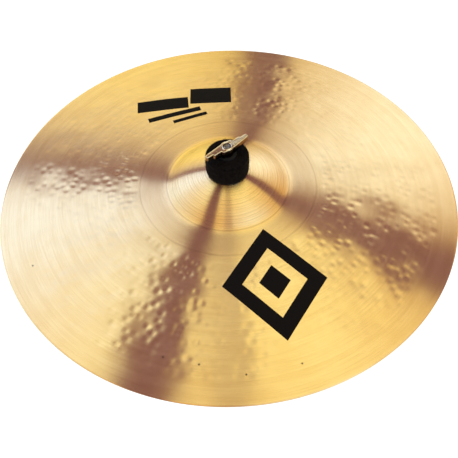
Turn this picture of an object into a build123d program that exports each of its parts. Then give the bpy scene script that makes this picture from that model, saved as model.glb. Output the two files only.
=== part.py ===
"""Crash cymbal of 18 inches, held on its tilter by a sleeve, two felts and a wing nut.

Frame: +Z up. The origin is on the post's axis, in the middle of the length that a stand clamp grips.
Everything else is stacked up from there, so each height below follows from the one before it.
All sizes are in millimetres.
"""

import os
from math import cos, radians, sin, sqrt

from build123d import *

# ---------------------------------------------------------------- driving dimensions

# Cymbal
CYMBAL_DIAMETER = 457.2
CYMBAL_HEIGHT = 42.0
CYMBAL_HOLE_RADIUS = 6.25
BELL_RISE = 21.0
BELL_ROOT_RADIUS = 66.0
BELL_FILLET = 18.0
BOW_ANGLE_AT_BELL = 3.0
BELL_THICKNESS = 1.2
EDGE_THICKNESS = 0.8

# Threads are M8 coarse, modelled as plain cylinders of their outer radius
THREAD_RADIUS = 4.0
THREAD_CLEARANCE = 0.05
TAPPED_RADIUS = THREAD_RADIUS + THREAD_CLEARANCE

# Felts
UPPER_FELT_RADIUS = 20.7
UPPER_FELT_HEIGHT = 20.0
LOWER_FELT_RADIUS = 18.0
LOWER_FELT_HEIGHT = 11.0
FELT_BORE_RADIUS = 5.2
FELT_EDGE = 2.0
FELT_GAP = 0.3

# Sleeve and seat
SLEEVE_RADIUS = 5.0
SLEEVE_BORE_RADIUS = 4.15
SLEEVE_FLANGE_RADIUS = 16.0
SLEEVE_FLANGE_HEIGHT = 1.5
SLEEVE_INSIDE_UPPER_FELT = 13.0
SEAT_RADIUS = 19.0
SEAT_THICKNESS = 1.5
SEAT_SKIRT = 3.0

# Wing nut, with the stepped wings of a die casting
NUT_HEIGHT = 9.5
NUT_HUB_RADIUS = 6.2
NUT_WASHER_RADIUS = 9.0
NUT_WASHER_HEIGHT = 1.5
WING_REACH = 24.5
WING_FOOT = 7.4
WING_TIP_HALF_WIDTH = 1.9
WING_AZIMUTH = 35.5
STUD_RECESS = 0.6

# Tilter: two like halves, each a disc on a round neck
POST_RADIUS = 6.35
POST_GRIP = 50.0
POST_CHAMFER = 1.0
ROD_RADIUS = 5.0
NECK_RADIUS = 10.0
NECK_HEIGHT = 20.0
NECK_EDGE = 1.5
SPIGOT_DEPTH = 17.0
DISC_RADIUS = 17.0
DISC_OUTER_FACE = 13.0
DISC_EDGE = 1.2
GUSSET_HALF_WIDTH = 14.5
GUSSET_FOOT = 7.0
GUSSET_DEPTH = 26.0
FRICTION_DISC_HEIGHT = 1.5
FRICTION_DISC_RADIUS = 15.5
FRICTION_DISC_BORE = 7.0
PIVOT_ABOVE_NECK = 18.0
PIN_RADIUS = 1.5
PIN_WALL = 0.5
COLLAR_RADIUS = 10.0
COLLAR_HEIGHT = 9.0
COLLAR_ABOVE_NECK = 2.0
COLLAR_SCREW_RADIUS = 2.0
COLLAR_SCREW_LENGTH = 5.5
COLLAR_SCREW_SOCKET_FLATS = 2.0
COLLAR_SCREW_SOCKET_DEPTH = 2.2

# Clamp screw, M8 through both tilter halves
BOLT_BORE_RADIUS = 4.25
HEX_FLATS = 13.0
CLAMP_NUT_HEIGHT = 6.5
CLAMP_POCKET_DEPTH = 5.0
BOLT_PAST_NUT = 3.0
BOLT_WASHER_RADIUS = 8.4
BOLT_WASHER_HEIGHT = 1.6
SPRING_WASHER_RADIUS = 7.0
SPRING_WASHER_HEIGHT = 2.1
SPRING_WASHER_GAP = 1.5
CLAMP_HUB_RADIUS = 9.0
CLAMP_HUB_HEIGHT = 10.0
BOLT_HEAD_HEIGHT = 5.5
CLAMP_EAR_RADIUS = 7.5
CLAMP_EAR_OFFSET = 15.0
CLAMP_EAR_LIFT = 8.0
CLAMP_EAR_THICKNESS = 5.0
CLAMP_EDGE = 0.8

# ---------------------------------------------------------------- heights along the stud

NECK_BOTTOM = POST_GRIP / 2
PIVOT = NECK_BOTTOM + NECK_HEIGHT + PIVOT_ABOVE_NECK
HEAD_TOP = PIVOT + PIVOT_ABOVE_NECK + NECK_HEIGHT
COLLAR_BOTTOM = HEAD_TOP + COLLAR_ABOVE_NECK
SHOULDER = COLLAR_BOTTOM + COLLAR_HEIGHT
SLEEVE_BOTTOM = SHOULDER + SEAT_THICKNESS
LOWER_FELT_BOTTOM = SLEEVE_BOTTOM + SLEEVE_FLANGE_HEIGHT
BELL_APEX = LOWER_FELT_BOTTOM + LOWER_FELT_HEIGHT + FELT_GAP + BELL_THICKNESS
RIM_PLANE = BELL_APEX - CYMBAL_HEIGHT
UPPER_FELT_TOP = BELL_APEX + FELT_GAP + UPPER_FELT_HEIGHT
NUT_BOTTOM = UPPER_FELT_TOP + NUT_WASHER_HEIGHT
STUD_TOP = NUT_BOTTOM + NUT_HEIGHT - STUD_RECESS

# ---------------------------------------------------------------- places along the clamp screw

POCKET_FACE = -DISC_OUTER_FACE + CLAMP_POCKET_DEPTH
BOLT_TIP = POCKET_FACE - CLAMP_NUT_HEIGHT - BOLT_PAST_NUT
SPRING_WASHER_FACE = DISC_OUTER_FACE + BOLT_WASHER_HEIGHT
CLAMP_HUB_FACE = SPRING_WASHER_FACE + SPRING_WASHER_HEIGHT

# ---------------------------------------------------------------- helpers

ABOVE = (Align.CENTER, Align.CENTER, Align.MIN)


def in_section(point):
    """A point given as radius and height, placed in the XZ plane."""
    radius, height = tuple(point)[:2]
    return Vector(radius, 0, height)


def turned(*edges):
    """The solid that a closed outline in the XZ plane sweeps round the Z axis."""
    return revolve(make_face(list(edges)), Axis.Z, 360)


def turned_polygon(*points):
    """The same for an outline of straight lines, given as radii and heights."""
    return turned(Polyline(*[in_section(p) for p in points], close=True))


def ring(outer, inner, bottom, height):
    """A plain round ring about the Z axis."""
    top = bottom + height
    return turned_polygon((inner, bottom), (outer, bottom), (outer, top), (inner, top))


def rod(radius, bottom, top):
    """A round bar about the Z axis."""
    return Pos(0, 0, bottom) * Cylinder(radius, top - bottom, align=ABOVE)


def hexagon(flats, bottom, height):
    """A hexagonal bar about the Z axis, given its size across flats."""
    return Pos(0, 0, bottom) * extrude(RegularPolygon(flats / 2, 6, major_radius=False), height)


def round_edges(shape, radius):
    """The circular edges of a shape that have one radius, lowest first."""
    circles = shape.edges().filter_by(GeomType.CIRCLE)
    return circles.filter_by(lambda e: abs(e.radius - radius) < 0.01).sort_by(Axis.Z)


def across(shape):
    """Lays a shape that was built about Z along the clamp screw, which lies along X at the pivot."""
    return Pos(0, 0, PIVOT) * Rot(Y=90) * shape


# ---------------------------------------------------------------- the cymbal's curve

# The bow is one arc, which leaves the bell at a set angle and comes down to the rim.
RIM_RADIUS = CYMBAL_DIAMETER / 2
BOW_ALONG = Vector(cos(radians(BOW_ANGLE_AT_BELL)), -sin(radians(BOW_ANGLE_AT_BELL)))
BOW_UP = Vector(sin(radians(BOW_ANGLE_AT_BELL)), cos(radians(BOW_ANGLE_AT_BELL)))
BOW_START = Vector(BELL_ROOT_RADIUS, BELL_APEX - BELL_RISE)
RIM_TOP = Vector(RIM_RADIUS, RIM_PLANE + EDGE_THICKNESS)

# The bell is a spherical cap, joined to the bow by a hollow fillet that is tangent to both.
FILLET_CENTRE = BOW_START + BOW_UP * BELL_FILLET
FILLET_ABOVE_APEX = FILLET_CENTRE.Y - BELL_APEX
CAP_RADIUS = (FILLET_CENTRE.X**2 + FILLET_ABOVE_APEX**2 - BELL_FILLET**2) / (
    2 * (BELL_FILLET - FILLET_ABOVE_APEX)
)
CAP_CENTRE = Vector(0, BELL_APEX - CAP_RADIUS)


def cap_height(radius, offset=0.0):
    """Height of the bell's cap at a radius, on the surface that lies offset outside its top face."""
    return CAP_CENTRE.Y + sqrt((CAP_RADIUS + offset) ** 2 - radius**2)


def cap_arc(inner, outer, offset):
    """The cap's arc between two radii."""
    radii = (inner, (inner + outer) / 2, outer)
    return ThreePointArc(*[in_section((r, cap_height(r, offset))) for r in radii])


def cap_end(thickness):
    """Where the cap meets the fillet, on the face that lies thickness below the top one."""
    return CAP_CENTRE + (FILLET_CENTRE - CAP_CENTRE).normalized() * (CAP_RADIUS - thickness)


def fillet_arc(thickness, bow_start):
    """The bell's hollow fillet, on the face that lies thickness below the top one."""
    start = cap_end(thickness)
    middle_way = ((start - FILLET_CENTRE) + (bow_start - FILLET_CENTRE)).normalized()
    middle = FILLET_CENTRE + middle_way * (BELL_FILLET + thickness)
    return ThreePointArc(*[in_section(p) for p in (start, middle, bow_start)])


def bow_arc(start, end):
    """The bow, which leaves the fillet at the bow's own angle and ends at the rim."""
    return TangentArc(in_section(start), in_section(end), tangent=in_section(BOW_ALONG))


def cymbal():
    """One bronze casting, thickest at the bell and tapering to the edge."""
    hole = CYMBAL_HOLE_RADIUS
    bow_start_below = BOW_START - BOW_UP * BELL_THICKNESS
    rim_bottom = Vector(RIM_RADIUS, RIM_PLANE)
    return turned(
        cap_arc(hole, cap_end(0).X, 0),
        fillet_arc(0, BOW_START),
        bow_arc(BOW_START, RIM_TOP),
        Line(in_section(RIM_TOP), in_section(rim_bottom)),
        bow_arc(bow_start_below, rim_bottom),
        fillet_arc(BELL_THICKNESS, bow_start_below),
        cap_arc(hole, cap_end(BELL_THICKNESS).X, -BELL_THICKNESS),
        Line((hole, 0, cap_height(hole)), (hole, 0, cap_height(hole, -BELL_THICKNESS))),
    )


# ---------------------------------------------------------------- felts, sleeve and seat


def bell_shaped_felt(radius, offset, flat_face):
    """A felt ring that follows the bell on one face and is flat on the other."""
    bore = FELT_BORE_RADIUS
    return turned(
        cap_arc(bore, radius, offset),
        Line((radius, 0, cap_height(radius, offset)), (radius, 0, flat_face)),
        Line((radius, 0, flat_face), (bore, 0, flat_face)),
        Line((bore, 0, flat_face), (bore, 0, cap_height(bore, offset))),
    )


def upper_felt():
    """Thick felt between the bell and the wing nut."""
    felt = bell_shaped_felt(UPPER_FELT_RADIUS, FELT_GAP, UPPER_FELT_TOP)
    return fillet(round_edges(felt, UPPER_FELT_RADIUS)[-1], FELT_EDGE)


def lower_felt():
    """Thinner felt between the sleeve's flange and the inside of the bell."""
    return bell_shaped_felt(LOWER_FELT_RADIUS, -BELL_THICKNESS - FELT_GAP, LOWER_FELT_BOTTOM)


def sleeve():
    """Flanged nylon sleeve that keeps the cymbal's hole off the stud's thread."""
    top = BELL_APEX + SLEEVE_INSIDE_UPPER_FELT
    return turned_polygon(
        (SLEEVE_BORE_RADIUS, SLEEVE_BOTTOM),
        (SLEEVE_FLANGE_RADIUS, SLEEVE_BOTTOM),
        (SLEEVE_FLANGE_RADIUS, LOWER_FELT_BOTTOM),
        (SLEEVE_RADIUS, LOWER_FELT_BOTTOM),
        (SLEEVE_RADIUS, top),
        (SLEEVE_BORE_RADIUS, top),
    )


def seat_washer():
    """Pressed steel washer with its rim turned down."""
    plate = ring(SEAT_RADIUS, TAPPED_RADIUS, SHOULDER, SEAT_THICKNESS)
    skirt = ring(SEAT_RADIUS, SEAT_RADIUS - SEAT_THICKNESS, SHOULDER - SEAT_SKIRT, SEAT_SKIRT)
    pressed = plate + skirt
    return fillet(round_edges(pressed, SEAT_RADIUS)[-1], 0.9 * SEAT_THICKNESS)


# ---------------------------------------------------------------- wing nut and its washer


def wing_from_above():
    """One wing along +X. One side is smooth, and the other drops inwards in two steps."""
    tip = WING_TIP_HALF_WIDTH
    outline = [
        (0, -5.6),
        (7.5, -4.6),
        (16.5, -3.1),
        (WING_REACH - 1.2, -tip),
        (WING_REACH, -tip / 2),
        (WING_REACH, tip / 2),
        (WING_REACH - 0.9, tip),
        (16.9, 1.6),
        (16.2, 3.4),
        (8.1, 2.6),
        (7.2, 5.0),
        (0, 5.6),
    ]
    return make_face(Polyline(*outline, close=True))


def wing_from_the_side():
    """The same wing in the XZ plane. Its underside rises towards the tip."""
    outline = [
        (0, 0.8),
        (WING_FOOT, 1.4),
        (15.0, 3.6),
        (WING_REACH - 1.5, 5.0),
        (WING_REACH, 6.2),
        (WING_REACH, NUT_HEIGHT - 0.2),
        (WING_REACH - 1.5, NUT_HEIGHT + 0.6),
        (0, NUT_HEIGHT - 0.2),
    ]
    return make_face(Polyline(*[in_section(p) for p in outline], close=True))


def wing_nut():
    """Wing nut with a round hub, and two wings that are each other's half turn."""
    plan = extrude(wing_from_above(), 2 * NUT_HEIGHT)
    side = extrude(wing_from_the_side(), NUT_HUB_RADIUS, dir=(0, 1, 0), both=True)
    wing = (plan & side).solid()
    body = rod(NUT_HUB_RADIUS, 0, NUT_HEIGHT) + [wing, Rot(Z=180) * wing]
    body -= rod(TAPPED_RADIUS, -1, NUT_HEIGHT + 1)
    return Pos(0, 0, NUT_BOTTOM) * Rot(Z=WING_AZIMUTH) * body


def nut_washer():
    """Thin nylon washer that the wing nut turns on, so that it doesn't bite into the felt."""
    return ring(NUT_WASHER_RADIUS, TAPPED_RADIUS, UPPER_FELT_TOP, NUT_WASHER_HEIGHT)


# ---------------------------------------------------------------- post, rod and the tilter's two halves


def post():
    """Half-inch bar that the stand's clamp grips, with a thinner spigot for the tilter."""
    bar = chamfer(round_edges(rod(POST_RADIUS, -POST_GRIP / 2, NECK_BOTTOM), POST_RADIUS)[0], POST_CHAMFER)
    spigot = rod(ROD_RADIUS, NECK_BOTTOM, NECK_BOTTOM + SPIGOT_DEPTH)
    return bar + spigot - cross_pin(NECK_BOTTOM + NECK_HEIGHT / 2)


def tilter_rod():
    """Bar whose foot is pinned into the tilter's head, and whose upper end is the threaded stud."""
    foot = HEAD_TOP - SPIGOT_DEPTH
    stud = rod(THREAD_RADIUS, SHOULDER, STUD_TOP)
    stud = chamfer(round_edges(stud, THREAD_RADIUS)[-1], STUD_RECESS)
    return rod(ROD_RADIUS, foot, SHOULDER) + stud - cross_pin(HEAD_TOP - NECK_HEIGHT / 2)


def cross_pin(height):
    """Roll pin across a neck, along Y. It is also the hole that the pin fills."""
    return Pos(0, 0, height) * Rot(X=90) * Cylinder(PIN_RADIUS, 2 * (NECK_RADIUS + PIN_WALL))


def roll_pin(height):
    """The pin itself: a slit tube."""
    tube = cross_pin(height)
    bore = Pos(0, 0, height) * Rot(X=90) * Cylinder(PIN_RADIUS - PIN_WALL, 3 * NECK_RADIUS)
    slit = Pos(PIN_RADIUS, 0, height) * Box(2 * PIN_RADIUS, 3 * NECK_RADIUS, PIN_WALL)
    return tube - bore - slit


def tilter_half():
    """The lower half about its pivot: a disc on the -X side, on a neck that hangs below the pivot."""
    thickness = DISC_OUTER_FACE - FRICTION_DISC_HEIGHT / 2
    disc = Pos(-DISC_OUTER_FACE, 0, 0) * Rot(Y=90) * rod(DISC_RADIUS, 0, thickness)
    disc = fillet(round_edges(disc, DISC_RADIUS).sort_by(Axis.X)[0], DISC_EDGE)
    neck_top = -PIVOT_ABOVE_NECK
    neck = rod(NECK_RADIUS, neck_top - NECK_HEIGHT, neck_top)
    neck = fillet(round_edges(neck, NECK_RADIUS)[0], NECK_EDGE)
    return disc + gusset() + neck


def gusset():
    """The web between disc and neck, cut to one outline from the front and to another from the side."""
    foot = -GUSSET_DEPTH
    face = -FRICTION_DISC_HEIGHT / 2
    back = DISC_EDGE - DISC_OUTER_FACE
    front_outline = [
        (0, -GUSSET_HALF_WIDTH, 0),
        (0, GUSSET_HALF_WIDTH, 0),
        (0, GUSSET_FOOT, foot),
        (0, -GUSSET_FOOT, foot),
    ]
    side_outline = [(face, 0), (back, 0), (back, -DISC_RADIUS / 2), (-GUSSET_FOOT, foot), (face, foot)]
    front = make_face(Polyline(*front_outline, close=True))
    side = make_face(Polyline(*[in_section(p) for p in side_outline], close=True))
    deep = extrude(front, DISC_OUTER_FACE, dir=(-1, 0, 0))
    return deep & extrude(side, DISC_RADIUS, dir=(0, 1, 0), both=True)


def pivot_bore():
    """The clamp screw's clearance hole, through both halves."""
    return Rot(Y=90) * Cylinder(BOLT_BORE_RADIUS, 4 * DISC_OUTER_FACE)


def tilter_body():
    """The lower half, pinned to the post, with the pocket that keeps the clamp nut from turning."""
    pocket = Rot(Y=90) * hexagon(HEX_FLATS, -2 * DISC_OUTER_FACE, 2 * DISC_OUTER_FACE + POCKET_FACE)
    half = Pos(0, 0, PIVOT) * (tilter_half() - pivot_bore() - pocket)
    half -= rod(ROD_RADIUS, NECK_BOTTOM - 1, NECK_BOTTOM + SPIGOT_DEPTH)
    return half - cross_pin(NECK_BOTTOM + NECK_HEIGHT / 2)


def tilter_head():
    """The upper half, which is the lower one turned over, pinned to the rod."""
    half = Pos(0, 0, PIVOT) * Rot(Y=180) * (tilter_half() - pivot_bore())
    half -= rod(ROD_RADIUS, HEAD_TOP - SPIGOT_DEPTH, HEAD_TOP + 1)
    return half - cross_pin(HEAD_TOP - NECK_HEIGHT / 2)


def friction_disc():
    """Fibre disc between the halves, which grips at any angle."""
    height = FRICTION_DISC_HEIGHT
    return across(ring(FRICTION_DISC_RADIUS, FRICTION_DISC_BORE, -height / 2, height))


def seat_collar():
    """Collar under the seat washer, drilled for its grub screw."""
    collar = ring(COLLAR_RADIUS, ROD_RADIUS, COLLAR_BOTTOM, COLLAR_HEIGHT)
    collar = chamfer(round_edges(collar, COLLAR_RADIUS), STUD_RECESS)
    return collar - collar_drilling()


def collar_drilling():
    """The radial hole for the grub screw, on the -Y side."""
    height = COLLAR_BOTTOM + COLLAR_HEIGHT / 2
    length = 2 * COLLAR_RADIUS
    drill = Cylinder(COLLAR_SCREW_RADIUS, length, align=ABOVE)
    return Pos(0, 0, height) * Rot(X=90) * drill - rod(ROD_RADIUS, COLLAR_BOTTOM, SHOULDER)


def collar_screw():
    """Grub screw with a hexagon socket, bearing on the rod."""
    height = COLLAR_BOTTOM + COLLAR_HEIGHT / 2
    outer_end = ROD_RADIUS + COLLAR_SCREW_LENGTH
    screw = rod(COLLAR_SCREW_RADIUS, ROD_RADIUS, outer_end)
    screw -= hexagon(COLLAR_SCREW_SOCKET_FLATS, outer_end - COLLAR_SCREW_SOCKET_DEPTH, NECK_RADIUS)
    return Pos(0, 0, height) * Rot(X=90) * screw


# ---------------------------------------------------------------- clamp screw


def clamp_nut():
    """Hexagon nut that sits in the lower half's pocket."""
    nut = hexagon(HEX_FLATS, POCKET_FACE - CLAMP_NUT_HEIGHT, CLAMP_NUT_HEIGHT)
    return across(nut - rod(TAPPED_RADIUS, BOLT_TIP, 0))


def clamp_bolt():
    """Hexagon bolt through both halves and into the nut."""
    shank = rod(THREAD_RADIUS, BOLT_TIP, CLAMP_HUB_FACE + CLAMP_HUB_HEIGHT - BOLT_HEAD_HEIGHT)
    shank = chamfer(round_edges(shank, THREAD_RADIUS)[0], STUD_RECESS)
    return across(shank + bolt_head())


def bolt_head():
    """The bolt's hexagon head, which the wing is pressed over."""
    bottom = CLAMP_HUB_FACE + CLAMP_HUB_HEIGHT - BOLT_HEAD_HEIGHT
    return hexagon(HEX_FLATS, bottom, BOLT_HEAD_HEIGHT)


def clamp_wing():
    """Die-cast wing pressed over the bolt's head, with two round ears."""
    hub = Cylinder(CLAMP_HUB_RADIUS, CLAMP_HUB_HEIGHT, align=ABOVE)
    hub = fillet(round_edges(hub, CLAMP_HUB_RADIUS), CLAMP_EDGE)
    ears = [Pos(side * CLAMP_EAR_OFFSET, CLAMP_EAR_LIFT) * Circle(CLAMP_EAR_RADIUS) for side in (-1, 1)]
    foot = Pos(0, CLAMP_HUB_HEIGHT / 2) * Circle(CLAMP_HUB_HEIGHT / 2)
    blades = [make_hull((ear + foot).edges()) for ear in ears]
    for blade in blades:
        solid = extrude(blade, CLAMP_EAR_THICKNESS / 2, both=True)
        hub += Rot(X=90) * fillet(solid.edges().filter_by(Axis.Z, reverse=True), CLAMP_EDGE)
    hub = Pos(0, 0, CLAMP_HUB_FACE) * hub
    return across(hub - bolt_head() - rod(THREAD_RADIUS, CLAMP_HUB_FACE - 1, CLAMP_HUB_FACE + CLAMP_HUB_HEIGHT))


def bolt_washer():
    """Plain washer between the upper half and the spring washer."""
    return across(ring(BOLT_WASHER_RADIUS, BOLT_BORE_RADIUS, DISC_OUTER_FACE, BOLT_WASHER_HEIGHT))


def spring_washer():
    """Split washer, flattened as it is when the clamp is tight."""
    whole = ring(SPRING_WASHER_RADIUS, BOLT_BORE_RADIUS, SPRING_WASHER_FACE, SPRING_WASHER_HEIGHT)
    middle = SPRING_WASHER_FACE + SPRING_WASHER_HEIGHT / 2
    split = Pos(SPRING_WASHER_RADIUS, 0, middle) * Rot(X=20) * Box(
        2 * BOLT_BORE_RADIUS, SPRING_WASHER_GAP, 3 * SPRING_WASHER_HEIGHT
    )
    return across(whole - split)


# ---------------------------------------------------------------- every node

NODES = {
    "cymbal": cymbal,
    "upper_felt": upper_felt,
    "lower_felt": lower_felt,
    "sleeve": sleeve,
    "seat_washer": seat_washer,
    "seat_collar": seat_collar,
    "collar_screw": collar_screw,
    "wing_nut": wing_nut,
    "nut_washer": nut_washer,
    "tilter_rod": tilter_rod,
    "rod_pin": lambda: roll_pin(HEAD_TOP - NECK_HEIGHT / 2),
    "tilter_head": tilter_head,
    "friction_disc": friction_disc,
    "tilter_body": tilter_body,
    "post": post,
    "post_pin": lambda: roll_pin(NECK_BOTTOM + NECK_HEIGHT / 2),
    "clamp_nut": clamp_nut,
    "clamp_bolt": clamp_bolt,
    "clamp_wing": clamp_wing,
    "bolt_washer": bolt_washer,
    "spring_washer": spring_washer,
}

os.makedirs("parts", exist_ok=True)
for name, make in NODES.items():
    export_step(make(), f"parts/{name}.step")
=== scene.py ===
"""Looks of the crash cymbal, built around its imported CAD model.

Lengths are in metres in the CAD model's own frame, with Z up and the stud along it.
"""

import math

import bpy
import numpy as np
from mathutils import Matrix, Vector, noise
from mathutils.kdtree import KDTree


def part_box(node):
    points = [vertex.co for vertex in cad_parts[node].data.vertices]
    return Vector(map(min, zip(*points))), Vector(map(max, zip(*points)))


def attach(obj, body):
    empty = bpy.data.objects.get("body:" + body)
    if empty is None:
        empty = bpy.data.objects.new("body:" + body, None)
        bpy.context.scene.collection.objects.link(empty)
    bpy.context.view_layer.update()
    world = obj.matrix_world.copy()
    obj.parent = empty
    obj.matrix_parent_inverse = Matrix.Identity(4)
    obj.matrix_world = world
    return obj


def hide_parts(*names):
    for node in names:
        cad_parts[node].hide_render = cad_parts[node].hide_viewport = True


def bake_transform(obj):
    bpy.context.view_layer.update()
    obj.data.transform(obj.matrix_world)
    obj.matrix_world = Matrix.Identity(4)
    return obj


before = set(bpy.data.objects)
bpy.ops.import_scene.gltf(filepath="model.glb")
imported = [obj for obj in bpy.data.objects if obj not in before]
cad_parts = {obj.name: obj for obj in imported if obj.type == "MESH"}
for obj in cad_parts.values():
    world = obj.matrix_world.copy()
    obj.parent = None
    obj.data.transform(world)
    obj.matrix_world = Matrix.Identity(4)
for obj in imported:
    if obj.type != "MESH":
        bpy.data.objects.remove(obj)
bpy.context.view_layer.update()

MM = 0.001

# ---------------------------------------------------------------- sizes of the cymbal's curve

RIM_RADIUS = 228.6 * MM
HOLE_RADIUS = 6.25 * MM
BELL_RISE = 21 * MM
BELL_ROOT_RADIUS = 66 * MM
BELL_FILLET = 18 * MM
BOW_ANGLE_AT_BELL = math.radians(3)
BELL_THICKNESS = 1.2 * MM
EDGE_THICKNESS = 0.8 * MM
RIM_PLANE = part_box("cymbal")[0].z
BELL_APEX = RIM_PLANE + 42 * MM

# ---------------------------------------------------------------- marks of the hammer and the lathe

LATHE_RINGS = (61 * MM, 87.6 * MM)
LATHE_RING_DEPTHS = (0.03 * MM, 0.025 * MM)
LATHE_RING_WIDTH = 0.9 * MM
HAMMERED_FROM = 94 * MM
HAMMERED_TO = 205 * MM
DENTS = 1200
DENT_SPACING = 5.8 * MM
DENT_RADII = (3.0 * MM, 5.6 * MM)
DENT_DEPTHS = (0.02 * MM, 0.15 * MM)
WAVES = 28
WAVE_LENGTHS = (24 * MM, 70 * MM)
WAVE_SLOPE = 0.012
WAVES_FADE_IN = (70 * MM, 100 * MM)
WAVES_FADE_OUT = (195 * MM, 222 * MM)


# ---------------------------------------------------------------- meshes


def mesh_object(name, vertices, faces, material):
    """A smooth closed mesh, its faces turned outwards."""
    vertices = np.asarray(vertices, float).reshape(-1, 3)
    faces = [list(map(int, face)) for face in faces]
    fans = [(face[0], face[i], face[i + 1]) for face in faces for i in range(1, len(face) - 1)]
    a, b, c = (vertices[[fan[k] for fan in fans]] for k in range(3))
    if np.einsum("ij,ij->", a, np.cross(b, c)) < 0:
        faces = [face[::-1] for face in faces]
    mesh = bpy.data.meshes.new(name)
    mesh.from_pydata(vertices.tolist(), [], faces)
    mesh.materials.append(material)
    mesh.polygons.foreach_set("use_smooth", [True] * len(mesh.polygons))
    mesh.update()
    piece = bpy.data.objects.new(name, mesh)
    bpy.context.scene.collection.objects.link(piece)
    return piece


def grid_faces(rows, columns):
    """Quads of a grid that closes on itself both ways."""
    row, column = np.meshgrid(np.arange(rows), np.arange(columns), indexing="ij")
    after, beside = (row + 1) % rows, (column + 1) % columns
    here, there = row * columns, after * columns
    corners = [here + column, here + beside, there + beside, there + column]
    return np.stack(corners, -1).reshape(-1, 4).tolist()


def turned(outline, segments):
    """The rings that the points of an outline, each a radius and a height, sweep round the Z axis."""
    outline = np.asarray(outline, float)
    angle = np.arange(segments) * 2 * math.pi / segments
    radius, height = outline[:, 0][:, None], outline[:, 1][:, None]
    return np.stack([radius * np.cos(angle), radius * np.sin(angle), height + 0 * angle], -1)


def radii_between(start, end, spacing):
    """Radii from start to end, spacing(radius) apart."""
    radii = [start]
    while radii[-1] + 1.3 * spacing(radii[-1]) < end:
        radii.append(radii[-1] + spacing(radii[-1]))
    return np.array(radii + [end])


# ---------------------------------------------------------------- the cymbal's curve and relief


def curve(depth, rim_height):
    """The height of the face that lies depth below the top one, as a function of radius.

    A spherical cap, a hollow fillet and the bow's one arc, each tangent to the next.
    """
    along = np.array([math.cos(BOW_ANGLE_AT_BELL), -math.sin(BOW_ANGLE_AT_BELL)])
    up = np.array([-along[1], along[0]])
    root = np.array([BELL_ROOT_RADIUS, BELL_APEX - BELL_RISE])
    fillet = root + up * BELL_FILLET
    drop = fillet[1] - BELL_APEX
    cap_radius = (fillet[0] ** 2 + drop**2 - BELL_FILLET**2) / (2 * (BELL_FILLET - drop))
    cap = np.array([0, BELL_APEX - cap_radius])
    to_fillet = (fillet - cap) / np.linalg.norm(fillet - cap)
    cap_end = to_fillet[0] * (cap_radius - depth)
    start = root - up * depth
    chord = np.array([RIM_RADIUS, rim_height]) - start
    bow_radius = chord @ chord / (-2 * chord @ up)
    bow = start - up * bow_radius

    def height(radius):
        radius = np.asarray(radius, float)
        on_cap = cap[1] + np.sqrt(np.maximum((cap_radius - depth) ** 2 - radius**2, 0))
        on_fillet = fillet[1] - np.sqrt(np.maximum((BELL_FILLET + depth) ** 2 - (radius - fillet[0]) ** 2, 0))
        on_bow = bow[1] + np.sqrt(bow_radius**2 - (radius - bow[0]) ** 2)
        return np.where(radius < cap_end, on_cap, np.where(radius < start[0], on_fillet, on_bow))

    return height


top_height = curve(0, RIM_PLANE + EDGE_THICKNESS)
bottom_height = curve(BELL_THICKNESS, RIM_PLANE)


def smooth_step(value, low, high):
    share = np.clip((value - low) / (high - low), 0, 1)
    return share * share * (3 - 2 * share)


def scattered_dents(random):
    """Centres, radii and depths of the hammer's dents, which never crowd each other."""
    centres = []
    while len(centres) < DENTS:
        radius = math.sqrt(random.uniform(HAMMERED_FROM**2, HAMMERED_TO**2))
        angle = random.uniform(0, 2 * math.pi)
        point = np.array([radius * math.cos(angle), radius * math.sin(angle)])
        if not centres or np.min(np.linalg.norm(np.array(centres) - point, axis=1)) > DENT_SPACING:
            centres.append(point)
    return np.array(centres), random.uniform(*DENT_RADII, DENTS), random.uniform(*DENT_DEPTHS, DENTS)


random = np.random.default_rng(18)
dent_centres, dent_radii, dent_depths = scattered_dents(random)
wave_lengths = random.uniform(*WAVE_LENGTHS, WAVES)
wave_angles = random.uniform(0, 2 * math.pi, WAVES)
wave_phases = random.uniform(0, 2 * math.pi, WAVES)


def waviness(points):
    """The slow unevenness that hammering leaves in the bow, for points in plan."""
    radius = np.linalg.norm(points, axis=1)
    turns = 2 * math.pi / wave_lengths
    phase = (points[:, :1] * np.cos(wave_angles) + points[:, 1:] * np.sin(wave_angles)) * turns + wave_phases
    height = (np.sin(phase) / turns).sum(axis=1) * WAVE_SLOPE / math.sqrt(WAVES / 2)
    return height * smooth_step(radius, *WAVES_FADE_IN) * (1 - smooth_step(radius, *WAVES_FADE_OUT))


POINTS_AT_ONCE = 4000


def relief(points):
    """How far the worked top surface stands above its plain curve, for points in plan."""
    points = np.asarray(points, float).reshape(-1, 2)
    height = waviness(points)
    radius = np.linalg.norm(points, axis=1)
    for ring, depth in zip(LATHE_RINGS, LATHE_RING_DEPTHS):
        height -= depth * np.exp(-(((radius - ring) / LATHE_RING_WIDTH) ** 2))
    for part in np.array_split(np.arange(len(points)), max(1, len(points) // POINTS_AT_ONCE)):
        apart = np.linalg.norm(points[part][:, None] - dent_centres, axis=2) / dent_radii
        height[part] -= (dent_depths * np.clip(1 - apart**2, 0, None) ** 2).sum(axis=1)
    return height


def surface(points):
    """Points in plan, lifted on to the cymbal's top surface."""
    points = np.asarray(points, float).reshape(-1, 2)
    return np.column_stack([points, top_height(np.linalg.norm(points, axis=1)) + relief(points)])


CYMBAL_SEGMENTS = 528
CYMBAL_EDGE = 0.2 * MM


def top_spacing(radius):
    """How far apart the rows of points on top lie, closest at the lathe's rings."""
    if min(abs(radius - ring) for ring in LATHE_RINGS) < 2.2 * MM:
        return 0.45 * MM
    return 1.5 * MM if radius > HAMMERED_FROM else 2.5 * MM


def bottom_spacing(radius):
    return 9 * MM if radius > HAMMERED_FROM else 4 * MM


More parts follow.
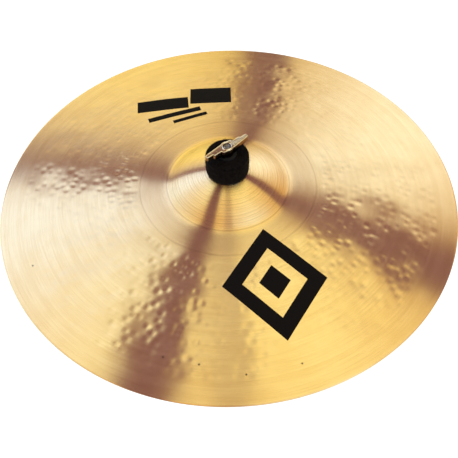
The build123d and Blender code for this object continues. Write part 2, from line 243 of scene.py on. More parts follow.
def cymbal():
    """The whole bronze, from the hole over the bell and bow to the rim, and back underneath."""
    edge = CYMBAL_EDGE
    above = radii_between(HOLE_RADIUS + edge, RIM_RADIUS - edge, top_spacing)
    below = radii_between(HOLE_RADIUS + edge, RIM_RADIUS - edge, bottom_spacing)[::-1]
    hole_middle = (top_height(HOLE_RADIUS) + bottom_height(HOLE_RADIUS)) / 2
    outline = np.concatenate([
        [(HOLE_RADIUS, hole_middle), (HOLE_RADIUS, top_height(HOLE_RADIUS) - edge)],
        np.column_stack([above, top_height(above)]),
        [(RIM_RADIUS, RIM_PLANE + EDGE_THICKNESS - edge), (RIM_RADIUS, RIM_PLANE + edge)],
        np.column_stack([below, bottom_height(below)]),
        [(HOLE_RADIUS, bottom_height(HOLE_RADIUS) + edge)],
    ])
    points = turned(outline, CYMBAL_SEGMENTS)
    first, last = 2, 2 + len(above)
    worked = points[first:last]
    worked[..., 2] += relief(worked[..., :2]).reshape(worked.shape[:2])
    under = points[last + 2:-1]
    under[..., 2] += waviness(under[..., :2].reshape(-1, 2)).reshape(under.shape[:2])
    piece = mesh_object("cymbal_bronze", points, grid_faces(len(outline), CYMBAL_SEGMENTS), bronze())
    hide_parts("cymbal")
    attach(piece, "cymbal")


# ---------------------------------------------------------------- printed marks

INK_HEIGHT = 0.06 * MM
INK_STEP = 1.3 * MM
RHOMBUS_CENTRE = np.array([40.0, -116.0])
RHOMBUS_CORNERS = ((48, 4), (-8, 57), (-48, -4), (8, -57))
RHOMBUS_HOLE = 0.62
RHOMBUS_CORE = 0.30
BARS = [
    # centre, size, degrees, all in plan and in millimetres, as the rhombus is
    ((-69, 122), (56, 19), 4),
    ((-16.5, 134.5), (45, 27), 0),
    ((-55.5, 104), (58, 7), 16.5),
    ((-38.5, 97.5), (38, 5), 20),
]


def printed(name, corners, material):
    """A thin layer of ink between four corners given in plan, which follows the surface below it."""
    corners = np.array(corners, float) * MM
    across = max(2, int(np.linalg.norm(corners[1] - corners[0]) / INK_STEP) + 1)
    along = max(2, int(np.linalg.norm(corners[3] - corners[0]) / INK_STEP) + 1)
    u, v = np.meshgrid(np.linspace(0, 1, across), np.linspace(0, 1, along))
    weights = np.stack([(1 - u) * (1 - v), u * (1 - v), u * v, (1 - u) * v], -1)
    base = surface((weights @ corners).reshape(-1, 2))
    layers = np.vstack([base + [0, 0, INK_HEIGHT], base - [0, 0, INK_HEIGHT]])
    count = along * across
    faces = []
    for j in range(along - 1):
        for i in range(across - 1):
            quad = [j * across + i, j * across + i + 1, (j + 1) * across + i + 1, (j + 1) * across + i]
            faces += [quad, [count + k for k in reversed(quad)]]
    border = list(range(across))
    border += [j * across + across - 1 for j in range(1, along)]
    border += [(along - 1) * across + i for i in range(across - 2, -1, -1)]
    border += [j * across for j in range(along - 2, 0, -1)]
    for a, b in zip(border, border[1:] + border[:1]):
        faces.append([b, a, count + a, count + b])
    piece = mesh_object(name, layers, faces, material)
    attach(piece, "cymbal")


def rectangle(centre, size, degrees):
    """Corners of a rectangle in plan, in millimetres."""
    turn = math.radians(degrees)
    along = np.array([math.cos(turn), math.sin(turn)]) * size[0] / 2
    up = np.array([-math.sin(turn), math.cos(turn)]) * size[1] / 2
    centre = np.array(centre, float)
    return [centre - along - up, centre + along - up, centre + along + up, centre - along + up]


def printed_marks():
    """A plain rhombus in front, and plain bars behind, where a maker prints its name."""
    ink = printing_ink()
    outer, inner, core = (
        [RHOMBUS_CENTRE + np.array(corner) * share for corner in RHOMBUS_CORNERS]
        for share in (1, RHOMBUS_HOLE, RHOMBUS_CORE)
    )
    for i in range(4):
        k = (i + 1) % 4
        printed(f"mark_rhombus_{i + 1}", [outer[i], outer[k], inner[k], inner[i]], ink)
    printed("mark_rhombus_core", core, ink)
    for number, (middle, size, degrees) in enumerate(BARS, 1):
        printed(f"mark_bar_{number}", rectangle(middle, size, degrees), ink)


# ---------------------------------------------------------------- felts

FELT_SEGMENTS = 176
FELT_STEP = 0.55 * MM
FELT_BORE = 5.2 * MM
FELT_GAP = 0.3 * MM
FELT_BULGE = 0.3 * MM
BULGE_FADES = (8 * MM, 16 * MM)
LUMPS_PER_METRE = (260, 900)
LUMP_HEIGHT = 0.3 * MM
FIBRES = 2600
FIBRES_FROM = 9 * MM
FIBRE_LEAN = 0.75
FIBRE_ROOT = 0.25 * MM
FIBRE_LENGTHS = (0.8 * MM, 2.4 * MM)
FIBRE_RADIUS = 0.13 * MM


def rounded_outline(corners, step):
    """Points step apart along a closed outline whose corners are (radius, height, rounding)."""
    points = []
    count = len(corners)
    for i, (r, z, rounding) in enumerate(corners):
        here = np.array([r, z])
        before = np.array(corners[i - 1][:2]) - here
        after = np.array(corners[(i + 1) % count][:2]) - here
        start = here + before / np.linalg.norm(before) * rounding
        end = here + after / np.linalg.norm(after) * rounding
        for share in np.linspace(0, 1, 7 if rounding > 0.5 * MM else 2):
            points.append((1 - share) ** 2 * start + 2 * share * (1 - share) * here + share**2 * end)
    points = np.array(points)
    closed = np.vstack([points, points[:1]])
    lengths = np.concatenate([[0], np.cumsum(np.linalg.norm(np.diff(closed, axis=0), axis=1))])
    places = np.arange(0, lengths[-1], step)
    return np.column_stack([np.interp(places, lengths, closed[:, k]) for k in range(2)])


def felt(name, node, corners, bell_face, random):
    """A pressed felt ring with an uneven, fuzzy surface. bell_face fits its outline to the bell's curve."""
    outline = bell_face(rounded_outline(corners, FELT_STEP))
    points = turned(outline, FELT_SEGMENTS).reshape(-1, 3)
    middle_radius, middle_height = outline.mean(axis=0)
    angle = np.arctan2(points[:, 1], points[:, 0])
    middle = middle_radius * np.column_stack([np.cos(angle), np.sin(angle), 0 * angle])
    middle[:, 2] = middle_height
    outward = (points - middle) / np.linalg.norm(points - middle, axis=1)[:, None]
    coarse, fine = LUMPS_PER_METRE
    lumps = np.array([noise.noise(Vector(p * coarse)) + 0.5 * noise.noise(Vector(p * fine)) for p in points])
    points += outward * (lumps - 0.8)[:, None] * LUMP_HEIGHT
    low, high = points[:, 2].min(), points[:, 2].max()
    crown = 1 - (2 * (points[:, 2] - low) / (high - low) - 1) ** 2
    swelling = crown / middle_radius * smooth_step(np.linalg.norm(points[:, :2], axis=1), *BULGE_FADES)
    points[:, :2] *= 1 + FELT_BULGE * swelling[:, None]
    fuzz_points, fuzz_faces = fuzz(points, outward, random)
    faces = grid_faces(len(outline), FELT_SEGMENTS)
    faces += [[i + len(points) for i in face] for face in fuzz_faces]
    piece = mesh_object(name, np.vstack([points, fuzz_points]), faces, felt_cloth())
    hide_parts(node)
    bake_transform(piece)


def fuzz(points, outward, random):
    """Loose fibres of the felt: thin closed spikes that lean every way from its outer faces."""
    outer = np.flatnonzero(np.linalg.norm(points[:, :2], axis=1) > FIBRES_FROM)
    chosen = random.choice(outer, FIBRES)
    vertices, faces = [], []
    for k in chosen:
        lean = outward[k] + random.normal(0, FIBRE_LEAN, 3)
        lean /= np.linalg.norm(lean)
        side = np.cross(lean, random.normal(0, 1, 3))
        side /= np.linalg.norm(side)
        third = np.cross(lean, side)
        root = points[k] - lean * FIBRE_ROOT
        first = len(vertices)
        for turn in (0, 2 * math.pi / 3, 4 * math.pi / 3):
            vertices.append(root + (side * math.cos(turn) + third * math.sin(turn)) * FIBRE_RADIUS)
        vertices.append(root + lean * random.uniform(*FIBRE_LENGTHS))
        faces.append([first, first + 2, first + 1])
        faces += [[first + i, first + (i + 1) % 3, first + 3] for i in range(3)]
    return np.array(vertices), faces


def felts():
    """The thick felt above the bell and the thinner one inside it."""
    low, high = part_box("upper_felt")

    def above_bell(outline):
        outline[:, 1] = np.maximum(outline[:, 1], top_height(outline[:, 0]) + FELT_GAP)
        return outline

    side_bottom = float(top_height(high.x)) + FELT_GAP
    corners = [(FELT_BORE, high.z, 0.6 * MM), (high.x, high.z, 1.3 * MM),
               (high.x, side_bottom, 3.2 * MM), (FELT_BORE, side_bottom, 0.2 * MM)]
    felt("felt_upper", "upper_felt", corners, above_bell, np.random.default_rng(7))

    low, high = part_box("lower_felt")

    def below_bell(outline):
        outline[:, 1] = np.minimum(outline[:, 1], bottom_height(outline[:, 0]) - FELT_GAP)
        return outline

    corners = [(FELT_BORE, high.z, 0.2 * MM), (high.x, high.z, 0.4 * MM),
               (high.x, low.z, 1.2 * MM), (FELT_BORE, low.z, 0.4 * MM)]
    felt("felt_lower", "lower_felt", corners, below_bell, np.random.default_rng(8))


# ---------------------------------------------------------------- castings and threads


def sink_web(mesh, above, rim, depth):
    """Sinks the top of a casting inside a rim that runs along its edges, for its points above a height."""
    sides = [vertex.co for vertex in mesh.vertices if abs(vertex.normal.z) < 0.6 and vertex.co.z > above]
    tree = KDTree(len(sides))
    for number, point in enumerate(sides):
        tree.insert((point.x, point.y, 0), number)
    tree.balance()
    for vertex in mesh.vertices:
        if vertex.normal.z > 0.6 and vertex.co.z > above:
            away = tree.find((vertex.co.x, vertex.co.y, 0))[2]
            vertex.co.z -= depth * float(smooth_step(away, rim * 0.5, rim))


def cast(node, name, body, material, voxel, rounds):
    """A copy of a CAD node with its edges rounded off, as a plated casting's are."""
    source = bpy.data.objects.new(name + "_source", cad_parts[node].data.copy())
    bpy.context.scene.collection.objects.link(source)
    remesh = source.modifiers.new("Remesh", "REMESH")
    remesh.mode = "VOXEL"
    remesh.voxel_size = voxel
    smooth = source.modifiers.new("Smooth", "SMOOTH")
    smooth.factor = 0.5
    smooth.iterations = rounds
    shape = source.evaluated_get(bpy.context.evaluated_depsgraph_get())
    mesh = bpy.data.meshes.new_from_object(shape)
    bpy.data.objects.remove(source)
    mesh.materials.clear()
    mesh.materials.append(material)
    mesh.polygons.foreach_set("use_smooth", [True] * len(mesh.polygons))
    piece = bpy.data.objects.new(name, mesh)
    bpy.context.scene.collection.objects.link(piece)
    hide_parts(node)
    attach(piece, body)
    return piece


ROD_RADIUS = 5 * MM
STUD_RADIUS = 4 * MM
PITCH = 1.25 * MM
THREAD_DEPTH = 0.62 * MM
SEAT_SKIRT = 3 * MM
STUD_END_RADIUS = 3.3 * MM
STUD_HOLLOW_RADIUS = 2.6 * MM
STUD_HOLLOW_DEPTH = 2.4 * MM
BAR_SEGMENTS = 48


def threaded_bar(name, outline, thread, end_hollow, material):
    """A turned bar whose outline is (height, radius).

    It has a helical thread between two heights, and a cone end_hollow deep in its upper end.
    """
    segments = BAR_SEGMENTS
    corner_heights, corner_radii = zip(*outline)
    heights = [outline[0][0]]
    for low, high in zip(corner_heights, corner_heights[1:]):
        inside = low >= thread[0] and high <= thread[1]
        steps = max(1, round((high - low) / (PITCH / 10))) if inside else 1
        heights += list(np.linspace(low, high, steps + 1)[1:])
    heights = np.array(heights)
    radii = np.interp(heights, corner_heights, corner_radii)
    angle = np.arange(segments) * 2 * math.pi / segments
    phase = np.mod(heights[:, None] / PITCH - angle / (2 * math.pi), 1)
    groove = THREAD_DEPTH * smooth_step(1 - np.abs(2 * phase - 1), 0.15, 0.85)
    cut = (heights > thread[0]) & (heights < thread[1])
    radius = radii[:, None] - groove * cut[:, None]
    points = np.stack([radius * np.cos(angle), radius * np.sin(angle), heights[:, None] + 0 * angle], -1)
    rows = len(heights)
    faces = [face for face in grid_faces(rows, segments) if max(face) - min(face) < 2 * segments]
    points = np.vstack([points.reshape(-1, 3), [[0, 0, heights[0]], [0, 0, heights[-1] - end_hollow]]])
    for i in range(segments):
        k = (i + 1) % segments
        faces.append([rows * segments, k, i])
        faces.append([rows * segments + 1, (rows - 1) * segments + i, (rows - 1) * segments + k])
    return mesh_object(name, points, faces, material)


def stud():
    """The tilter's rod, plain where it is pinned and threaded above its shoulder."""
    low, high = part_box("tilter_rod")
    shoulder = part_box("seat_washer")[0].z + SEAT_SKIRT
    outline = [
        (low.z, ROD_RADIUS),
        (shoulder - 0.01 * MM, ROD_RADIUS),
        (shoulder, STUD_RADIUS),
        (shoulder + MM, STUD_RADIUS),
        (high.z - MM, STUD_RADIUS),
        (high.z - 0.6 * MM, STUD_RADIUS),
        (high.z, STUD_END_RADIUS),
        (high.z + 0.01 * MM, STUD_HOLLOW_RADIUS),
    ]
    thread = (shoulder + 0.5 * MM, high.z - 0.3 * MM)
    piece = threaded_bar("stud", outline, thread, STUD_HOLLOW_DEPTH, stud_steel_painted_shade_and_glints())
    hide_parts("tilter_rod")
    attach(piece, "tilter_arm")


# ---------------------------------------------------------------- materials


class Shader:
    """A node tree, with short ways to add nodes and join them."""

    def __init__(self, tree):
        self.tree = tree
        tree.nodes.clear()

    def add(self, kind, **settings):
        node = self.tree.nodes.new(kind)
        for name, value in settings.items():
            setattr(node, name, value)
        return node

    def feed(self, socket, value):
        if isinstance(value, bpy.types.NodeSocket):
            self.tree.links.new(value, socket)
        else:
            socket.default_value = value

    def math(self, operation, *values):
        node = self.add("ShaderNodeMath", operation=operation)
        for socket, value in zip(node.inputs, values):
            self.feed(socket, value)
        return node.outputs[0]

    def plus(self, first, second):
        return self.math("ADD", first, second)

    def minus(self, first, second):
        return self.math("SUBTRACT", first, second)

    def times(self, first, second):
        return self.math("MULTIPLY", first, second)

    def rest(self, share):
        """What is left of 1."""
        return self.minus(1.0, share)

    def vector(self, operation, *values):
        node = self.add("ShaderNodeVectorMath", operation=operation)
        for socket, value in zip(node.inputs, values):
            self.feed(socket, value)
        return node.outputs["Value" if operation in ("LENGTH", "DISTANCE") else "Vector"]

    def scaled(self, vector, factor):
        node = self.add("ShaderNodeVectorMath", operation="SCALE")
        self.feed(node.inputs["Vector"], vector)
        self.feed(node.inputs["Scale"], factor)
        return node.outputs["Vector"]

    def step(self, value, low, high):
        """0 below low, 1 above high and smooth between them."""
        node = self.add("ShaderNodeMapRange", interpolation_type="SMOOTHSTEP")
        for name, fed in (("Value", value), ("From Min", low), ("From Max", high)):
            self.feed(node.inputs[name], fed)
        return node.outputs["Result"]

    def split(self, vector):
        node = self.add("ShaderNodeSeparateXYZ")
        self.feed(node.inputs[0], vector)
        return node.outputs[:]

    def join(self, x, y, z):
        node = self.add("ShaderNodeCombineXYZ")
        for socket, value in zip(node.inputs, (x, y, z)):
            self.feed(socket, value)
        return node.outputs[0]

    def noise(self, place, scale, detail=2.0, dimensions="3D"):
        node = self.add("ShaderNodeTexNoise", noise_dimensions=dimensions)
        self.feed(node.inputs["W" if dimensions == "1D" else "Vector"], place)
        self.feed(node.inputs["Scale"], scale)
        self.feed(node.inputs["Detail"], detail)
        return node.outputs[0]

    def between(self, share, first, second):
        """A colour between two others."""
        node = self.add("ShaderNodeMix", data_type="RGBA")
        self.feed(node.inputs["Factor"], share)
        for socket, value in zip([s for s in node.inputs if s.type == "RGBA"], (first, second)):
            self.feed(socket, value)
        return [s for s in node.outputs if s.type == "RGBA"][0]

    def bump(self, height, distance, strength=1.0):
        node = self.add("ShaderNodeBump")
        for name, value in (("Height", height), ("Distance", distance), ("Strength", strength)):
            self.feed(node.inputs[name], value)
        return node.outputs["Normal"]

    def surface(self, **sockets):
        node = self.add("ShaderNodeBsdfPrincipled")
        for name, value in sockets.items():
            self.feed(node.inputs[name.replace("_", " ")], value)
        self.tree.links.new(node.outputs[0], self.add("ShaderNodeOutputMaterial").inputs["Surface"])


made_materials = {}


def material(name, build):
    """The material of that name, which build(shader, place) makes the first time.

    place is the shaded point, in the piece's own coordinates.
    """
    if name not in made_materials:
        made = bpy.data.materials.new(name)
        made.use_nodes = True
        shader = Shader(made.node_tree)
        build(shader, shader.add("ShaderNodeTexCoord").outputs["Object"])
        made_materials[name] = made
    return made_materials[name]


BRONZE_DEEP = (0.91, 0.65, 0.31, 1)
BRONZE_PALE = (0.99, 0.75, 0.39, 1)
BRONZE_BROWN = (0.80, 0.53, 0.26, 1)
BRONZE_WORN = (0.58, 0.35, 0.16, 1)
BRONZE_PITTED = (0.09, 0.05, 0.03, 1)
BELL_ENDS = (60 * MM, 64 * MM)
FLANGE_STARTS = (59.5 * MM, 62.5 * MM)
FLANGE_ENDS = (86 * MM, 89 * MM)
RING_FADES = (0.2 * MM, 1.2 * MM)
PITS = [(-186, -83), (11, -202), (59, -193), (-60, -184), (-29, -192)]
PIT_FADES = (0.48 * MM, 1.12 * MM)


def bronze():
    """Lacquered cast bronze, turned on a lathe: its grooves spread highlights along the radius."""

    def build(shader, place):
        x, y, _ = shader.split(place)
        plan = shader.join(x, y, 0.0)
        radius = shader.vector("LENGTH", plan)
        around = shader.scaled(plan, shader.math("DIVIDE", 5.0, shader.math("MAXIMUM", radius, 4 * MM)))
        ax, ay, _ = shader.split(around)
        streaks = shader.noise(shader.join(ax, ay, shader.times(radius, 1300.0)), 1.0, 2.0)
        grooves = shader.noise(radius, 1500.0, 2.0, "1D")
        bands = shader.noise(radius, 160.0, 2.0, "1D")
        patina = shader.noise(place, 38.0, 5.0)
        tone = shader.plus(shader.times(bands, 0.2), shader.times(patina, 0.35))
        tone = shader.plus(tone, shader.times(streaks, 0.45))
        colour = shader.between(shader.step(tone, 0.36, 0.64), BRONZE_DEEP, BRONZE_PALE)

        within = shader.rest(shader.step(radius, *FLANGE_ENDS))
        flange = shader.times(shader.step(radius, *FLANGE_STARTS), within)
        colour = shader.between(shader.times(flange, 0.35), colour, BRONZE_BROWN)
        for ring in LATHE_RINGS:
            beside = shader.math("ABSOLUTE", shader.minus(radius, ring))
            line = shader.minus(0.3, shader.times(shader.step(beside, *RING_FADES), 0.3))
            colour = shader.between(line, colour, BRONZE_WORN)
        on_bell = shader.rest(shader.step(radius, *BELL_ENDS))
        lines = shader.step(shader.noise(radius, 700.0, 3.0, "1D"), 0.48, 0.68)
        colour = shader.between(shader.times(shader.times(on_bell, lines), 0.28), colour, BRONZE_WORN)

        nearest = 1.0
        for pit_x, pit_y in PITS:
            away = shader.vector("DISTANCE", plan, (pit_x * MM, pit_y * MM, 0))
            nearest = shader.math("MINIMUM", nearest, away)
        colour = shader.between(shader.step(nearest, *PIT_FADES), BRONZE_PITTED, colour)

        roughness = shader.plus(0.235, shader.times(tone, 0.03))
        height = shader.plus(grooves, shader.times(streaks, 0.7))
        shader.surface(Base_Color=colour, Metallic=1.0, Roughness=roughness, Anisotropic=1.0,
                       Anisotropic_Rotation=0.25, Normal=shader.bump(height, 0.03 * MM, 0.6),
                       Tangent=shader.add("ShaderNodeTangent", direction_type="RADIAL", axis="Z").outputs[0])

    return material("lathed_bronze", build)


def printing_ink():
    """Black ink, which takes a little of the grooves below it."""

    def build(shader, place):
        mottle = shader.noise(place, 900.0, 3.0)
        colour = shader.between(mottle, (0.0035, 0.003, 0.003, 1), (0.009, 0.007, 0.007, 1))
        roughness = shader.plus(0.5, shader.times(mottle, 0.2))
        shader.surface(Base_Color=colour, Roughness=roughness, Specular_IOR_Level=0.06,
                       Normal=shader.bump(mottle, 0.03 * MM, 0.5))

    return material("black_ink", build)


def felt_cloth():
    """Black pressed wool, with short fibres lying every way."""

    def build(shader, place):
        fibres = shader.noise(place, 1700.0, 4.0)
        lumps = shader.noise(place, 320.0, 3.0)
        share = shader.step(shader.times(fibres, lumps), 0.12, 0.45)
        colour = shader.between(share, (0.003, 0.0026, 0.0026, 1), (0.012, 0.009, 0.009, 1))
        height = shader.plus(lumps, shader.times(fibres, 0.5))
        shader.surface(Base_Color=colour, Roughness=1.0, Specular_IOR_Level=0.05, Sheen_Weight=0.03,
                       Sheen_Roughness=0.5, Normal=shader.bump(height, 0.4 * MM, 0.9))

    return material("black_felt", build)


def metal(name, pale, deep, roughness, grain, depth, scale=120.0):
    """A plated metal with a slightly uneven skin.

    grain is the size of that unevenness and depth its height. scale is how many clouds of pale and deep
    colour there are to a metre.
    """

    def build(shader, place):
        cloud = shader.noise(place, scale, 4.0)
        skin = shader.noise(place, 1 / grain, 3.0)
        colour = shader.between(shader.step(cloud, 0.3, 0.7), deep, pale)
        rough = shader.plus(roughness - 0.05, shader.times(cloud, 0.12))
        shader.surface(Base_Color=colour, Metallic=1.0, Roughness=rough, Normal=shader.bump(skin, depth, 0.6))

    return material(name, build)


NICKEL_PALE = (0.98, 0.90, 0.72, 1)
NICKEL_DEEP = (0.86, 0.72, 0.48, 1)
# The next colour is painted dark reflection, for the wing nut's top inside its rims.
NICKEL_PAINTED_REFLECTION_INSIDE_RIMS = (0.46, 0.30, 0.17, 1)
# The next colour is painted shade, for the wing nut's faces that don't point upward.
NICKEL_PAINTED_SHADE_ON_SIDES = (0.42, 0.29, 0.20, 1)
# The next colour is painted shade, round the wing nut's foot.
NICKEL_PAINTED_SHADE_AT_FOOT = (0.035, 0.024, 0.018, 1)
WING_RIM_HEIGHT = 9.3 * MM
WING_RISE = 0.035


def warm_nickel():
    """Nickel with a warm cast, brown as painted dark reflection inside its rims, darker on its sides as
    painted shade, and dark round its foot as painted shade.
    """
    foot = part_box("wing_nut")[0].z

    def build(shader, place):
        cloud = shader.noise(place, 300.0, 4.0)
        skin = shader.noise(place, 1100.0, 3.0)
        x, y, z = shader.split(place)
        upward = shader.split(shader.add("ShaderNodeTexCoord").outputs["Normal"])[2]
        height = shader.minus(z, foot)
        radius = shader.vector("LENGTH", shader.join(x, y, 0.0))
        rim = shader.math("MULTIPLY_ADD", radius, WING_RISE, WING_RIM_HEIGHT)
        # Painted dark reflection: the top that lies below the rims is coloured browner.
        painted_dark_inside_rims = shader.step(shader.minus(rim, height), 0.25 * MM, 0.7 * MM)
        colour = shader.between(shader.step(cloud, 0.3, 0.7), NICKEL_DEEP, NICKEL_PALE)
        colour = shader.between(painted_dark_inside_rims, colour, NICKEL_PAINTED_REFLECTION_INSIDE_RIMS)
        # Painted shade: faces that don't point upward are coloured darker.
        colour = shader.between(shader.step(upward, 0.1, 0.6), NICKEL_PAINTED_SHADE_ON_SIDES, colour)
        # Painted shade: up to 4.5 mm above its foot the nut is nearly black, fading to its own colour by 6.5
        # mm.
        colour = shader.between(shader.step(height, 4.5 * MM, 6.5 * MM), NICKEL_PAINTED_SHADE_AT_FOOT, colour)
        rough = shader.plus(0.17, shader.times(cloud, 0.12))
        normal = shader.bump(skin, 0.06 * MM, 0.6)
        shader.surface(Base_Color=colour, Metallic=1.0, Roughness=rough, Normal=normal)

    return material("warm_nickel", build)


def cast_chrome():
    return metal("cast_chrome", (0.56, 0.56, 0.57, 1), (0.40, 0.40, 0.41, 1), 0.16, 1.4 * MM, 0.04 * MM)


def chrome():
    return metal("bright_chrome", (0.62, 0.62, 0.63, 1), (0.46, 0.46, 0.47, 1), 0.12, 2.0 * MM, 0.01 * MM)


def plated_steel():
    return metal("plated_steel", (0.52, 0.51, 0.48, 1), (0.36, 0.355, 0.34, 1), 0.30, 0.5 * MM, 0.02 * MM)


# Darkened steel: its dark colour is painted shade and its pale blotches are painted glints, over the steel's
# own uneven tone.
def stud_steel_painted_shade_and_glints():
    pale, deep = (0.30, 0.27, 0.24, 1), (0.07, 0.06, 0.055, 1)
    return metal("stud_steel_painted_shade_and_glints", pale, deep, 0.28, 0.5 * MM, 0.04 * MM, 520.0)


def black_oxide():
    return metal("black_oxide", (0.06, 0.06, 0.065, 1), (0.03, 0.03, 0.03, 1), 0.45, 0.4 * MM, 0.02 * MM)


def plain(name, pale, deep, roughness, grain, depth):
    """A moulded or pressed material that isn't metal."""

    def build(shader, place):
        skin = shader.noise(place, 1 / grain, 4.0)
        cloud = shader.noise(place, 90.0, 3.0)
        colour = shader.between(shader.step(cloud, 0.3, 0.7), deep, pale)
        rough = shader.plus(roughness - 0.06, shader.times(skin, 0.14))
        normal = shader.bump(skin, depth, 0.6)
        shader.surface(Base_Color=colour, Roughness=rough, Specular_IOR_Level=0.2, Normal=normal)

    return material(name, build)


def nylon():
    return plain("black_nylon", (0.030, 0.030, 0.032, 1), (0.018, 0.018, 0.019, 1), 0.45, 0.4 * MM, 0.03 * MM)


def fibre():
    return plain("pressed_fibre", (0.17, 0.10, 0.06, 1), (0.10, 0.06, 0.04, 1), 0.85, 0.3 * MM, 0.08 * MM)


# ---------------------------------------------------------------- studio

# The light that the cymbal mirrors is a dome of soft boxes over a dim room. Directions are places on a flat
# disc, where a direction (x, y, z) lies at (x, y) / sqrt(1 + z). Dark gaps between the boxes run out from
# one centre, which is where the camera's view of the middle of the cymbal is mirrored.
# These numbers began as a least-squares fit of the dome to the photograph's colours, made by another
# script. Places and directions are the fit's, rounded. Widths and colours were then changed.
ROOM_LIGHT = (0.205, 0.085, 0.15)
FILL_LIGHT = (0.58, 0.41, 0.02)
SOFT_BOXES = [
    # centre, size, colour
    ((-0.27, 0.88), (0.40, 0.17), (0.72, 0.92, 0.30)),
    ((-0.34, 0.45), (0.40, 0.21), (0.32, 0.88, 2.05)),
    ((0.34, 0.64), (0.20, 0.26), (0.60, 1.08, 1.70)),
    ((0.12, 0.23), (0.24, 0.28), (0.50, 0.66, 0.18)),
    ((-1.00, 0.01), (0.32, 0.87), (0.32, 1.07, 1.95)),
    ((0.53, -0.58), (0.45, 0.42), (0.44, 1.06, 1.75)),
    ((-0.24, 0.10), (0.20, 0.21), (0.46, 0.80, 0.80)),
]
GAPS_FROM = (0.0, 0.505)
GAPS = [
    # direction in degrees, how far beside the centre, half width, how fast it widens, depth, depth lost
    # at its far end, softness of each side
    (78.0, -0.015, 0.025, 0.025, 1.0, 0.0, 0.025, 0.030),
    (168.5, 0.000, 0.025, 0.000, 1.0, 0.6, 0.065, 0.025),
    (-24.5, -0.005, 0.020, 0.060, 1.0, 0.2, 0.040, 0.055),
    (250.0, -0.010, 0.015, 0.075, 1.0, 0.1, 0.035, 0.025),
    (269.5, 0.000, 0.000, 0.055, 0.45, 0.0, 0.025, 0.030),
]
GAP_MOUTH = 0.04
GAP_FADES = (0.4, 1.0)
HORIZON = (-0.08, -0.02)
BACKGROUND = (1, 1, 1, 1)


def between_gaps(shader, u, v):
    """How much light the dark gaps let through from a place on the disc."""
    du, dv = shader.minus(u, GAPS_FROM[0]), shader.minus(v, GAPS_FROM[1])
    lit = 1.0
    for degrees, beside, half_width, widening, depth, loss, near_softness, far_softness in GAPS:
        cosine, sine = math.cos(math.radians(degrees)), math.sin(math.radians(degrees))
        along = shader.plus(shader.times(du, cosine), shader.times(dv, sine))
        across = shader.minus(shader.times(dv, cosine), shader.times(du, sine))
        across = shader.minus(across, beside)
        far_side = shader.math("GREATER_THAN", across, 0.0)
        softness = shader.plus(near_softness, shader.times(far_side, far_softness - near_softness))
        width = shader.plus(shader.times(shader.math("MAXIMUM", along, 0.0), widening), half_width)
        beyond = shader.minus(shader.math("ABSOLUTE", across), width)
        gap = shader.rest(shader.step(beyond, 0.0, softness))
        gap = shader.times(gap, shader.step(along, -GAP_MOUTH, GAP_MOUTH))
        faded = shader.times(shader.step(along, *GAP_FADES), loss)
        gap = shader.times(gap, shader.minus(depth, faded))
        lit = shader.times(lit, shader.rest(gap))
    return lit


def from_boxes(shader, u, v):
    """The light of the soft boxes, and of the fill between them, from a place on the disc."""
    light = FILL_LIGHT
    for centre, size, colour in SOFT_BOXES:
        across = shader.math("DIVIDE", shader.minus(u, centre[0]), size[0])
        along = shader.math("DIVIDE", shader.minus(v, centre[1]), size[1])
        away = shader.plus(shader.times(across, across), shader.times(along, along))
        glow = shader.math("EXPONENT", shader.times(away, -1.0))
        light = shader.vector("ADD", light, shader.scaled(colour, glow))
    return light


def studio_light():
    """The dome of light, and the plain background that the camera sees in its place."""
    world = bpy.data.worlds.new("studio")
    world.use_nodes = True
    bpy.context.scene.world = world
    shader = Shader(world.node_tree)
    x, y, z = shader.split(shader.add("ShaderNodeTexCoord").outputs["Generated"])
    spread = shader.math("SQRT", shader.plus(shader.math("MAXIMUM", z, -0.9), 1.0))
    u, v = shader.math("DIVIDE", x, spread), shader.math("DIVIDE", y, spread)
    light = shader.scaled(from_boxes(shader, u, v), between_gaps(shader, u, v))
    light = shader.scaled(shader.vector("ADD", light, ROOM_LIGHT), shader.step(z, *HORIZON))
    dome = shader.add("ShaderNodeBackground")
    shader.feed(dome.inputs["Color"], light)
    backdrop = shader.add("ShaderNodeBackground")
    backdrop.inputs["Color"].default_value = BACKGROUND
    chosen = shader.add("ShaderNodeMixShader")
    shader.feed(chosen.inputs["Fac"], shader.add("ShaderNodeLightPath").outputs["Is Camera Ray"])
    shader.feed(chosen.inputs[1], dome.outputs[0])
    shader.feed(chosen.inputs[2], backdrop.outputs[0])
    shader.feed(shader.add("ShaderNodeOutputWorld").inputs["Surface"], chosen.outputs[0])


FLOOR_DROP = 0.9
FLOOR_SIZE = 14.0
FLOOR_GLOW = 0.6


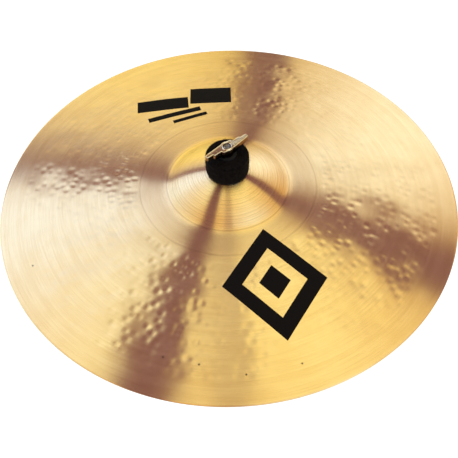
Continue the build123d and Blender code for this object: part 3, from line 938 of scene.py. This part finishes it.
def floor():
    """A plain pale floor, as far below the cymbal as a stand holds it."""

    def build(shader, place):
        mottle = shader.noise(place, 30.0, 3.0)
        colour = shader.between(mottle, (0.71, 0.72, 0.73, 1), (0.74, 0.75, 0.76, 1))
        seen = shader.add("ShaderNodeLightPath").outputs["Is Camera Ray"]
        shader.surface(Base_Color=colour, Roughness=0.9, Specular_IOR_Level=0.1, Emission_Color=(1, 1, 1, 1),
                       Emission_Strength=shader.times(seen, FLOOR_GLOW))

    half = FLOOR_SIZE / 2
    corners = [(-half, -half, 0), (half, -half, 0), (half, half, 0), (-half, half, 0)]
    mesh = bpy.data.meshes.new("floor")
    mesh.from_pydata(corners, [], [(0, 1, 2, 3)])
    mesh.materials.append(material("pale_floor", build))
    ground = bpy.data.objects.new("floor", mesh)
    ground.location.z = -FLOOR_DROP
    bpy.context.scene.collection.objects.link(ground)


def camera():
    """Looks down on the cymbal from in front, tipped a little to one side.

    Its numbers come from a fit to the rim's outline in the photograph.
    """
    eye = Vector((-0.2 * MM, -491.42 * MM, RIM_PLANE + 582.08 * MM))
    aim = Vector((-0.2 * MM, -41.75 * MM, RIM_PLANE))
    roll = math.radians(1.6)
    data = bpy.data.cameras.new("camera")
    data.lens = 58.89
    data.sensor_width = 36.0
    view = bpy.data.objects.new("camera", data)
    turn = (aim - eye).to_track_quat("-Z", "Y").to_matrix().to_4x4() @ Matrix.Rotation(-roll, 4, "Z")
    view.matrix_world = Matrix.Translation(eye) @ turn
    bpy.context.scene.collection.objects.link(view)
    bpy.context.scene.camera = view


# ---------------------------------------------------------------- everything

CARRIED_OVER = {
    "sleeve": nylon,
    "nut_washer": nylon,
    "seat_washer": chrome,
    "seat_collar": chrome,
    "collar_screw": black_oxide,
    "rod_pin": plated_steel,
    "post_pin": plated_steel,
    "post": chrome,
    "friction_disc": fibre,
    "clamp_nut": plated_steel,
    "clamp_bolt": plated_steel,
    "bolt_washer": plated_steel,
    "spring_washer": plated_steel,
}

cymbal()
printed_marks()
felts()
stud()
wing_nut = cast("wing_nut", "wing_nut_cast", "wing_nut", warm_nickel(), 0.2 * MM, 7)
sink_web(wing_nut.data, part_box("wing_nut")[0].z + 6 * MM, 1.2 * MM, 1.0 * MM)
cast("tilter_body", "tilter_body_cast", "tilter_base", cast_chrome(), 0.5 * MM, 2)
cast("tilter_head", "tilter_head_cast", "tilter_arm", cast_chrome(), 0.5 * MM, 2)
cast("clamp_wing", "clamp_wing_cast", "clamp_screw", cast_chrome(), 0.4 * MM, 2)
for node, finish in CARRIED_OVER.items():
    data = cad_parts[node].data
    data.materials.clear()
    data.materials.append(finish())
studio_light()
floor()
camera()
bpy.context.scene.view_settings.view_transform = "Standard"
